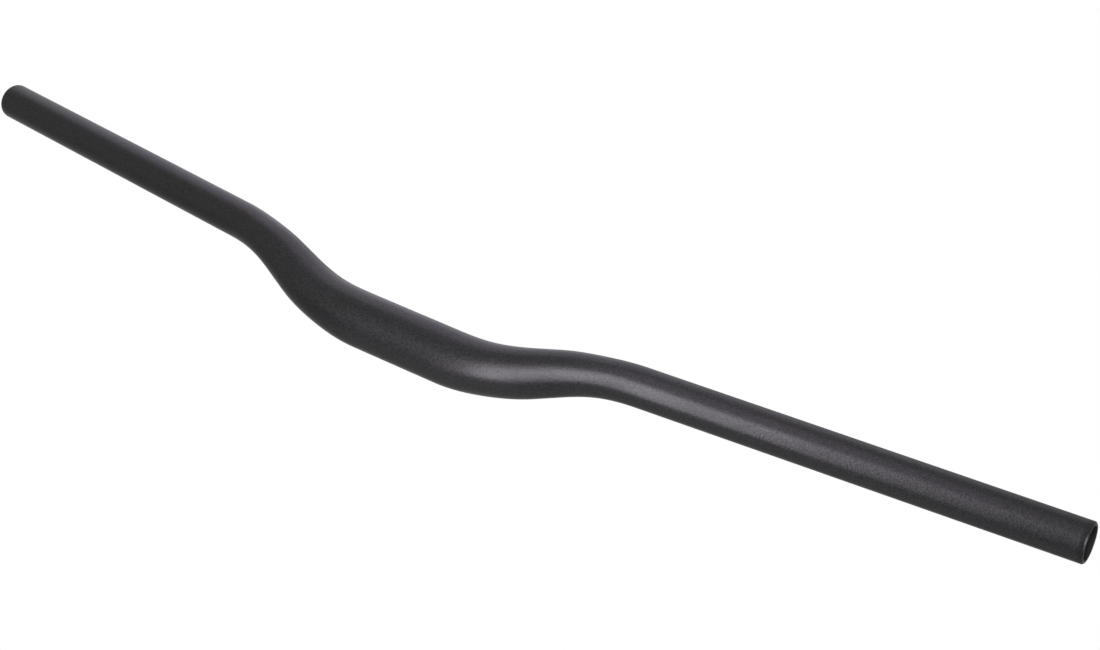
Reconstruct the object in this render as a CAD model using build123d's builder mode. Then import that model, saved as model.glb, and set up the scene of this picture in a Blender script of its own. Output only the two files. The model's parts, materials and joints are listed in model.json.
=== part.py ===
from build123d import *
from math import cos, pi, radians, sin, tan
import os

# A riser handlebar is one alloy tube, fat where the stem holds it and slim under the hands.
# +X runs along the clamp axis, +Y points to the rider, +Z is up, and the origin is the clamp's centre.

# Driving dimensions, in millimetres and degrees
BAR_WIDTH = 780.0  # between the centres of the two ends, along X
CLAMP_DIAMETER = 31.8
CLAMP_LENGTH = 60.0  # straight and parallel, from bend to bend
CLAMP_WALL = 2.4
GRIP_DIAMETER = 22.2
GRIP_WALL = 2.0
RISE = 24.5  # from the clamp axis up to the point where the riser's and the grip's axes cross
RISER_ANGLE = 21.0  # how steeply the riser climbs from the clamp axis
RISER_STRAIGHT = 15.0  # between the lower and the upper bend
BACKSWEEP = 8.0  # how far the grip turns back, seen from above
UPSWEEP = 5.0  # how far the grip tilts up, seen from the front
BEND_FLATTENING = 0.028  # share of its radius that the tube loses in the plane of each bend
TIP_CHAMFER = 0.5  # inside and outside edge of each cut end
TAPER_STEPS = 16  # sections that shape one tapered shoulder

# Centre line of the +X half: clamp, lower bend, riser, upper bend, grip
riser_way = Vector(1, 0, tan(radians(RISER_ANGLE))).normalized()
grip_way = Vector(1, tan(radians(BACKSWEEP)), tan(radians(UPSWEEP))).normalized()
lower_turn = radians(RISER_ANGLE)
upper_turn = radians(riser_way.get_angle(grip_way))
riser_run = RISE / sin(lower_turn)
bend_radius = (riser_run - RISER_STRAIGHT) / (tan(lower_turn / 2) + tan(upper_turn / 2))
lower_corner = Vector(CLAMP_LENGTH / 2 + bend_radius * tan(lower_turn / 2), 0, 0)
upper_corner = lower_corner + riser_way * riser_run
tip = upper_corner + grip_way * ((BAR_WIDTH / 2 - upper_corner.X) / grip_way.X)

with BuildLine() as centre_line:
    FilletPolyline((0, 0, 0), lower_corner, upper_corner, tip, radius=bend_radius)
half_line = centre_line.wire()

# The tube tapers from the start of the lower bend to the end of the upper one
taper_start = CLAMP_LENGTH / 2
upper_bend_start = taper_start + bend_radius * lower_turn + RISER_STRAIGHT
grip_start = upper_bend_start + bend_radius * upper_turn
taper_length = grip_start - taper_start
grip_length = half_line.length - grip_start

# The lower bend lies in an upright plane, and the upper one in a plane that leans back
lower_side = Vector(0, 1, 0)
upper_side = riser_way.cross(grip_way).normalized()


def square_plane(distance):
    """The plane square to the centre line, this far along. Its X turns from one bend to the other."""
    spot = half_line.position_at(distance, position_mode=PositionMode.LENGTH)
    way = half_line.tangent_at(distance, position_mode=PositionMode.LENGTH)
    share = min(max((distance - taper_start) / taper_length, 0), 1)
    return Plane(origin=spot, x_dir=lower_side * (1 - share) + upper_side * share, z_dir=way)


def flattening(distance):
    """Bending presses the tube flat: most half way round each bend, not at all on the straight runs."""
    round_lower = (distance - taper_start) / (bend_radius * lower_turn)
    round_upper = (distance - upper_bend_start) / (bend_radius * upper_turn)
    turns = [sin(pi * share) ** 2 for share in (round_lower, round_upper) if 0 < share < 1]
    return BEND_FLATTENING * sum(turns)


def bent_rod(clamp_radius, grip_radius):
    """A solid rod along the whole bar, which swells from the grips to the clamp."""
    with BuildPart() as rod:
        with BuildSketch(square_plane(0)):
            Circle(clamp_radius)
        extrude(amount=CLAMP_LENGTH / 2)
        # The sections crowd towards both ends, so that the shoulder runs smoothly into the straight tube
        for step in range(TAPER_STEPS + 1):
            share = (1 - cos(pi * step / TAPER_STEPS)) / 2
            distance = taper_start + share * taper_length
            radius = clamp_radius + share**2 * (3 - 2 * share) * (grip_radius - clamp_radius)
            pressed = flattening(distance)
            with BuildSketch(square_plane(distance)):
                if pressed:
                    Ellipse(radius * (1 + pressed), radius * (1 - pressed))
                else:
                    Circle(radius)
        loft()
        with BuildSketch(square_plane(grip_start)):
            Circle(grip_radius)
        extrude(amount=grip_length)
        mirror(about=Plane.YZ)
    return rod.part


# The outside and the bore follow one centre line, so the wall thins evenly towards the grips
outside = bent_rod(CLAMP_DIAMETER / 2, GRIP_DIAMETER / 2)
bore = bent_rod(CLAMP_DIAMETER / 2 - CLAMP_WALL, GRIP_DIAMETER / 2 - GRIP_WALL)

with BuildPart() as handlebar:
    add(outside)
    add(bore, mode=Mode.SUBTRACT)
    end_faces = handlebar.faces().filter_by(GeomType.PLANE)
    chamfer(end_faces.edges(), length=TIP_CHAMFER)

handlebar.part.label = "handlebar"

os.makedirs("parts", exist_ok=True)
export_step(handlebar.part, "parts/handlebar.step")
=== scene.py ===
import json
from math import cos, pi, radians, sin, tan

import bpy
from mathutils import Matrix, Quaternion, Vector


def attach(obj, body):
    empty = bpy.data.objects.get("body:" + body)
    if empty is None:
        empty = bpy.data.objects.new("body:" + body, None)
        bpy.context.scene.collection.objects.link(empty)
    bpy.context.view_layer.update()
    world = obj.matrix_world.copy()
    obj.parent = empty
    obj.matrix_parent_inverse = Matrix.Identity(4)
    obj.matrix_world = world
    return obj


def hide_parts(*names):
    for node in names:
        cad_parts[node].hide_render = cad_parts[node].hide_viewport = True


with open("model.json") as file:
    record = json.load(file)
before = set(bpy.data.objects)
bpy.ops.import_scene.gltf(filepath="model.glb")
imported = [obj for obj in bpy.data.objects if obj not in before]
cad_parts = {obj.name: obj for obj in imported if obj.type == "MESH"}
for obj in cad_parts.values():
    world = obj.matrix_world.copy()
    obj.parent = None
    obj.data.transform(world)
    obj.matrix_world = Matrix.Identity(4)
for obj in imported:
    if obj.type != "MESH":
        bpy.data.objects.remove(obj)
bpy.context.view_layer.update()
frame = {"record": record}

# The handlebar is one drawn alloy tube, swaged from the fat stem clamp in the middle down to the slim grips
# and bent twice on each side. The ends are sawn square, chamfered round the outside, and stay open.
# The outside is bead-blasted to an even satin grain before the black anodising; the bore is left as drawn.
MM = 0.001
mounts = {mount["name"]: mount for mount in frame["record"]["mounts"]}
clamp_half = mounts["stem_clamp"]["dims"]["length_mm"] / 2 * MM
clamp_radius = mounts["stem_clamp"]["dims"]["r_mm"] * MM
clamp_wall = 2.4 * MM
grip_radius = mounts["left_grip"]["dims"]["r_mm"] * MM
grip_bore = mounts["left_end_bore"]["dims"]["r_mm"] * MM
grip_length = mounts["left_grip"]["dims"]["length_mm"] * MM
grip_way = Vector(mounts["left_grip"]["axis"])
grip_start = Vector(mounts["left_grip"]["pos_m"]) - grip_way * grip_length / 2
tip_ease = 0.5 * MM  # radius of the eased edge round each bore
rim_chamfer = 0.8 * MM  # turned on the outside edge of each sawn end
riser_angle = radians(21)
bend_flattening = 0.028  # share of its radius that the tube loses in the plane of each bend

# The axes of clamp, riser and grip cross at two corners, and one bending die rounds both
clamp_way = Vector((1, 0, 0))
riser_way = Vector((cos(riser_angle), 0, sin(riser_angle)))
upper_corner = grip_start - grip_way * (grip_start.y / grip_way.y)
lower_corner = upper_corner - riser_way * (upper_corner.z / riser_way.z)
bend_radius = (lower_corner.x - clamp_half) / tan(riser_angle / 2)
upper_turn = riser_way.angle(grip_way)
riser_start = lower_corner + riser_way * (lower_corner.x - clamp_half)
riser_end = upper_corner - riser_way * (bend_radius * tan(upper_turn / 2))


def on_bend(start, way_in, way_out, distance):
    """Place and direction this far round a bend, and how flat the tube is pressed there."""
    inward = (way_out - way_in * way_in.dot(way_out)).normalized()
    angle = distance / bend_radius
    place = start + bend_radius * (way_in * sin(angle) + inward * (1 - cos(angle)))
    pressed = bend_flattening * sin(pi * angle / way_in.angle(way_out)) ** 2
    return place, way_in * cos(angle) + inward * sin(angle), pressed


# Each run of the centre line with its length, from the middle of the clamp to the tip
clamp_end = clamp_way * clamp_half
runs = [
    (clamp_half, lambda d: (clamp_way * d, clamp_way, 0)),
    (bend_radius * riser_angle, lambda d: on_bend(clamp_end, clamp_way, riser_way, d)),
    ((riser_end - riser_start).length, lambda d: (riser_start + riser_way * d, riser_way, 0)),
    (bend_radius * upper_turn, lambda d: on_bend(riser_end, riser_way, grip_way, d)),
    (grip_length + tip_ease, lambda d: (grip_start + grip_way * d, grip_way, 0)),
]
shoulder_length = sum(length for length, _ in runs[1:4])
half_length = sum(length for length, _ in runs)
lower_side = Vector((0, 1, 0))  # square to the plane of the lower bend
upper_side = riser_way.cross(grip_way).normalized()  # and to that of the upper one, which leans back


def down_the_shoulder(distance):
    """Share of the way from the clamp to the grip: 0 on the clamp, 1 on the grip."""
    return min(max((abs(distance) - clamp_half) / shoulder_length, 0), 1)


def section_at(distance):
    """Middle and half axes of the tube's section, for a radius of 1. Distances below 0 are on the -X half."""
    left = abs(distance)
    for length, run in runs:
        if left <= length or run is runs[-1][1]:
            place, way, pressed = run(left)
            break
        left -= length
    side = lower_side.lerp(upper_side, down_the_shoulder(distance))
    across = (side - way * side.dot(way)).normalized()
    section = place, across * (1 + pressed), way.cross(across) * (1 - pressed)
    return [Vector((-v.x, v.y, v.z)) for v in section] if distance < 0 else section


def swaged(at_clamp, at_grip, distance):
    """A radius that runs smoothly from its size at the clamp to its size at the grip."""
    share = down_the_shoulder(distance)
    return at_clamp + (at_grip - at_clamp) * share**2 * (3 - 2 * share)


# The tube's profile, once round its wall: out along the bore, round the far end, back along the outside
STATION_GAP = 3.2 * MM
EASE_STEPS = 5
ROUND = 96  # corners of one ring
# The chamfer's own edges are slightly rounded. Each pair is a ring's distance behind the end
# and its depth below the outside, as shares of the chamfer.
ROUNDED_EDGE = ((1.1, 0), (0.93, 0.07), (0.84, 0.16))
stations = round(2 * (half_length - tip_ease) / STATION_GAP)
along = [(2 * i / stations - 1) * (half_length - tip_ease) for i in range(stations + 1)]
quarter = [i / EASE_STEPS * pi / 2 for i in range(1, EASE_STEPS + 1)]
edge = [(tip_ease * sin(a), tip_ease * (1 - cos(a))) for a in quarter]
bore_line = [(d, swaged(clamp_radius - clamp_wall, grip_bore, d)) for d in along]
outer_line = [(d, swaged(clamp_radius, grip_radius, d)) for d in along[1:-1]]
end_out = [(along[-1] + out, grip_bore + into) for out, into in edge]
outer_edge = [(back * rim_chamfer, into * rim_chamfer) for back, into in ROUNDED_EDGE]
chamfer = [(into, back) for back, into in outer_edge] + outer_edge[::-1]
end_in = [(half_length - back, grip_radius - into) for back, into in chamfer]
profile = bore_line + end_out + end_in + outer_line[::-1]
profile += [(-d, r) for d, r in reversed(end_in)] + [(-d, r) for d, r in reversed(end_out)]
bore_rings = len(bore_line) - 1

vertices, faces = [], []
for distance, radius in profile:
    place, across, upward = section_at(distance)
    for i in range(ROUND):
        turn = 2 * pi * i / ROUND
        vertices.append(place + radius * (across * cos(turn) + upward * sin(turn)))
for ring in range(len(profile)):
    this, after = ring * ROUND, (ring + 1) % len(profile) * ROUND
    for i in range(ROUND):
        j = (i + 1) % ROUND
        faces.append((this + j, this + i, after + i, after + j))
tube_mesh = bpy.data.meshes.new("handlebar_tube")
tube_mesh.from_pydata(vertices, [], faces)
tube_mesh.polygons.foreach_set("use_smooth", [True] * len(faces))
in_bore = [int(face < bore_rings * ROUND) for face in range(len(faces))]
tube_mesh.polygons.foreach_set("material_index", in_bore)

# For its finish the wall is unrolled into flat strips, one of the bore and three of the outside
STRIP_MARGIN = 0.012  # share of a strip's length and width that stays free on each side
FACE_CORNERS = ((1, 0), (0, 0), (0, 1), (1, 1))  # steps round the ring and on to the next one, as in faces
third = (len(profile) - bore_rings) // 3
cuts = [0, bore_rings, bore_rings + third, bore_rings + 2 * third, len(profile)]
strips = list(zip(cuts, cuts[1:]))


def inside_margin(share):
    return STRIP_MARGIN + (1 - 2 * STRIP_MARGIN) * share


unrolled = []
for strip, (first, last) in enumerate(strips):
    for ring in range(first, last):
        for i in range(ROUND):
            for step_round, step_on in FACE_CORNERS:
                lengthwise = inside_margin((ring + step_on - first) / (last - first))
                crosswise = inside_margin((i + step_round) / ROUND)
                unrolled += [lengthwise, (strip + crosswise) / len(strips)]
tube_mesh.uv_layers.new(name="OFBake").uv.foreach_set("vector", unrolled)
tube = bpy.data.objects.new("handlebar_tube", tube_mesh)
bpy.context.scene.collection.objects.link(tube)


class Shade:
    """A socket of a node tree. Operators on it add Math nodes, and node() adds any other node."""

    def __init__(self, tree, socket=None):
        self.tree, self.socket = tree, socket

    def node(self, kind, settings, inputs, output=0):
        """Adds a node, sets it, fills or links its inputs, and gives one of its outputs."""
        made = self.tree.nodes.new("ShaderNode" + kind)
        for name, setting in settings.items():
            setattr(made, name, setting)
        for place, given in inputs.items():
            if isinstance(given, Shade):
                self.tree.links.new(given.socket, made.inputs[place])
            else:
                made.inputs[place].default_value = given
        return Shade(self.tree, made.outputs[output] if made.outputs else None)

    def math(self, operation, first, second):
        return self.node("Math", {"operation": operation}, {0: first, 1: second})

    def __add__(self, other):
        return self.math("ADD", self, other)

    def __sub__(self, other):
        return self.math("SUBTRACT", self, other)

    def __rsub__(self, other):
        return self.math("SUBTRACT", other, self)

    def __mul__(self, other):
        return self.math("MULTIPLY", self, other)

    __radd__ = __add__
    __rmul__ = __mul__


def new_material(name):
    material = bpy.data.materials.new(name)
    material.use_nodes = True
    material.node_tree.nodes.clear()
    return material, Shade(material.node_tree)


CLOUDS_PER_METRE = 34
PITS_PER_GRAIN = 0.8
PIT_DEPTH = 0.6  # times the grain's


def dyed_metal(name, base_colour, other_colour, roughness, unevenness, grain_size, grain_depth, speckle):
    """Anodised alloy with soft clouds of two near tints, and a speckled and pitted grain of this size."""
    material, start = new_material(name)
    spot = start.node("TexCoord", {}, {}, "Object")
    clouds = start.node(
        "TexNoise", {}, {"Vector": spot, "Scale": CLOUDS_PER_METRE, "Detail": 3, "Roughness": 0.6}
    )
    grain = start.node(
        "TexNoise", {}, {"Vector": spot, "Scale": 1 / grain_size, "Detail": 2, "Roughness": 0.65}
    )
    pits = start.node(
        "TexVoronoi",
        {"feature": "SMOOTH_F1"},
        {"Vector": spot, "Scale": PITS_PER_GRAIN / grain_size, "Smoothness": 0.4},
    )
    tint = start.node(
        "Mix", {"data_type": "RGBA"}, {"Factor": clouds, "A": (*base_colour, 1), "B": (*other_colour, 1)}, 2
    )
    brightness = 1 + speckle * (grain - 0.5)
    speckled = start.node("VectorMath", {"operation": "SCALE"}, {0: tint, "Scale": brightness})
    height = grain + PIT_DEPTH * pits
    bump = start.node("Bump", {}, {"Height": height, "Distance": grain_depth, "Strength": 1.0})
    shine = start.node(
        "BsdfPrincipled",
        {},
        {
            "Base Color": speckled,
            "Metallic": 1.0,
            "Roughness": roughness + unevenness * (clouds - 0.5) + unevenness * (grain - 0.5),
            "Specular Tint": (0.64, 0.64, 0.64, 1),
            "Normal": bump,
        },
    )
    start.node("OutputMaterial", {}, {"Surface": shine})
    return material


tube_mesh.materials.append(
    dyed_metal(
        "blasted_black",
        base_colour=(0.0284, 0.0275, 0.0274),
        other_colour=(0.0284, 0.0271, 0.0288),
        roughness=0.36,
        unevenness=0.12,
        grain_size=0.85 * MM,
        grain_depth=0.04 * MM,
        speckle=1.7,
    )
)
# The bore's colour is partly the drawn wall's own and partly painted light: it is lighter than the outside so
# that the shaded inside of the open ends shows grey instead of black.
tube_mesh.materials.append(
    dyed_metal(
        "drawn_bore_painted_light",
        base_colour=(0.060, 0.058, 0.060),
        other_colour=(0.070, 0.068, 0.071),
        roughness=0.45,
        unevenness=0.10,
        grain_size=2.5 * MM,
        grain_depth=0.02 * MM,
        speckle=0.3,
    )
)
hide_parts("handlebar")
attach(tube, "root")

# The floor is a plain pale studio floor, far enough below the bar to stay under the low camera.
# It thins out towards its rim, so that it runs into the white surroundings without an edge.
floor_drop = 1.5  # below the clamp's axis
floor_radius = 4.0
floor_grey = 0.74
THIN_FROM, THIN_TO = 0.35, 0.98  # shares of the radius between which it thins out
FLOOR_CORNERS = 96
turns = [2 * pi * i / FLOOR_CORNERS for i in range(FLOOR_CORNERS)]
rim = [(floor_radius * cos(turn), floor_radius * sin(turn), -floor_drop) for turn in turns]
floor_mesh = bpy.data.meshes.new("studio_floor")
floor_mesh.from_pydata(rim, [], [range(FLOOR_CORNERS)])
floor = bpy.data.objects.new("studio_floor", floor_mesh)
bpy.context.scene.collection.objects.link(floor)
floor_material, start = new_material("pale_floor")
spot = start.node("TexCoord", {}, {}, "Object")
from_middle = start.node(
    "VectorMath", {"operation": "DISTANCE"}, {0: spot, 1: (0, 0, -floor_drop)}, "Value"
)
thinness = start.node(
    "MapRange",
    {"interpolation_type": "SMOOTHSTEP"},
    {"Value": from_middle, "From Min": THIN_FROM * floor_radius, "From Max": THIN_TO * floor_radius},
)
paint = start.node("BsdfDiffuse", {}, {"Color": (floor_grey, floor_grey, floor_grey, 1)})
gap = start.node("BsdfTransparent", {}, {})
surface = start.node("MixShader", {}, {0: thinness, 1: paint, 2: gap})
start.node("OutputMaterial", {}, {"Surface": surface})
floor_mesh.materials.append(floor_material)

# The surroundings are a white studio: it shows as white behind the bar and in the metal,
# and lights the floor more softly, because the lamps light it too.
studio_fill = 0.71  # strength of its light on the floor
world = bpy.data.worlds.new("white_studio")
bpy.context.scene.world = world
world.use_nodes = True
world.node_tree.nodes.clear()
start = Shade(world.node_tree)
seen = (
    start.node("LightPath", {}, {}, "Is Camera Ray")
    + start.node("LightPath", {}, {}, "Is Glossy Ray")
    + start.node("LightPath", {}, {}, "Is Transmission Ray")
)
strength = studio_fill + (1 - studio_fill) * start.math("MINIMUM", seen, 1)
sky = start.node("Background", {}, {"Color": (1, 1, 1, 1), "Strength": strength})
start.node("OutputWorld", {}, {"Surface": sky})


# The lamps are five softboxes: a tall strip low in front, which draws the streak along the near half,
# a panel above it, a broad one high behind for the upper edge, a dim one below for the underside,
# and a small one beside the near tip, which catches its chamfer.
def softbox(name, place, aim, width, height, lean, radiance, colour):
    """A flat, evenly bright lamp that faces its aim, turned by lean degrees. The camera doesn't see it."""
    lamp = bpy.data.lights.new(name, "AREA")
    lamp.shape = "RECTANGLE"
    lamp.size, lamp.size_y = width, height
    lamp.energy = radiance * pi * width * height
    lamp.color = colour
    box = bpy.data.objects.new(name, lamp)
    box.location = place
    box.rotation_mode = "QUATERNION"
    facing = (Vector(aim) - Vector(place)).to_track_quat("-Z", "Y")
    box.rotation_quaternion = facing @ Quaternion((0, 0, 1), radians(lean))
    box.visible_camera = False
    bpy.context.scene.collection.objects.link(box)


softbox("front_strip", (-0.152, -1.002, -0.544), (0.1, 0, 0), 0.27, 1.43, -10, 17.8, (0.93, 0.925, 1))
softbox("front_panel", (-0.15, -1.323, 0.69), (0, 0, 0), 0.58, 1.5, 14, 2.08, (0.84, 0.81, 1))
softbox("back_panel", (-0.953, 0.239, 1.387), (0, 0, 0), 1.73, 1.53, -8, 1.91, (0.86, 0.83, 1))
softbox("low_panel", (-0.295, 0.364, -1.105), (0.15, 0, 0), 1.6, 1.2, -14, 0.58, (1, 1, 1))
softbox("side_box", (0.95, -0.02, 0.08), (0.39, 0.04, 0.06), 0.22, 0.24, 0, 14, (0.93, 0.925, 1))

# The camera stands where the photograph was taken from, low in front of the bar's left half and rolled,
# so that the bar runs down across the picture.
PICTURE_WIDTH, PICTURE_HEIGHT = 1100, 650
FOCAL_PIXELS = 2533.02
PICTURE_MIDDLE = (550.25, 307.57)
camera_place = Vector((0.80619, -1.13087, -0.19167))
rightward = Vector((0.782398, 0.406553, 0.471770))
downward = Vector((0.319059, 0.388894, -0.864270))
lens = bpy.data.cameras.new("camera")
lens.sensor_fit = "HORIZONTAL"
lens.sensor_width = 36
lens.lens = FOCAL_PIXELS / PICTURE_WIDTH * lens.sensor_width
lens.shift_x = (PICTURE_WIDTH / 2 - PICTURE_MIDDLE[0]) / PICTURE_WIDTH
lens.shift_y = (PICTURE_MIDDLE[1] - PICTURE_HEIGHT / 2) / PICTURE_WIDTH
lens.clip_start, lens.clip_end = 0.01, 100
camera = bpy.data.objects.new("camera", lens)
backward = -rightward.cross(downward)
turned = Matrix((rightward, -downward, backward)).transposed().to_4x4()
camera.matrix_world = Matrix.Translation(camera_place) @ turned
bpy.context.scene.collection.objects.link(camera)
bpy.context.scene.camera = camera
bpy.context.scene.view_settings.view_transform = "Standard"
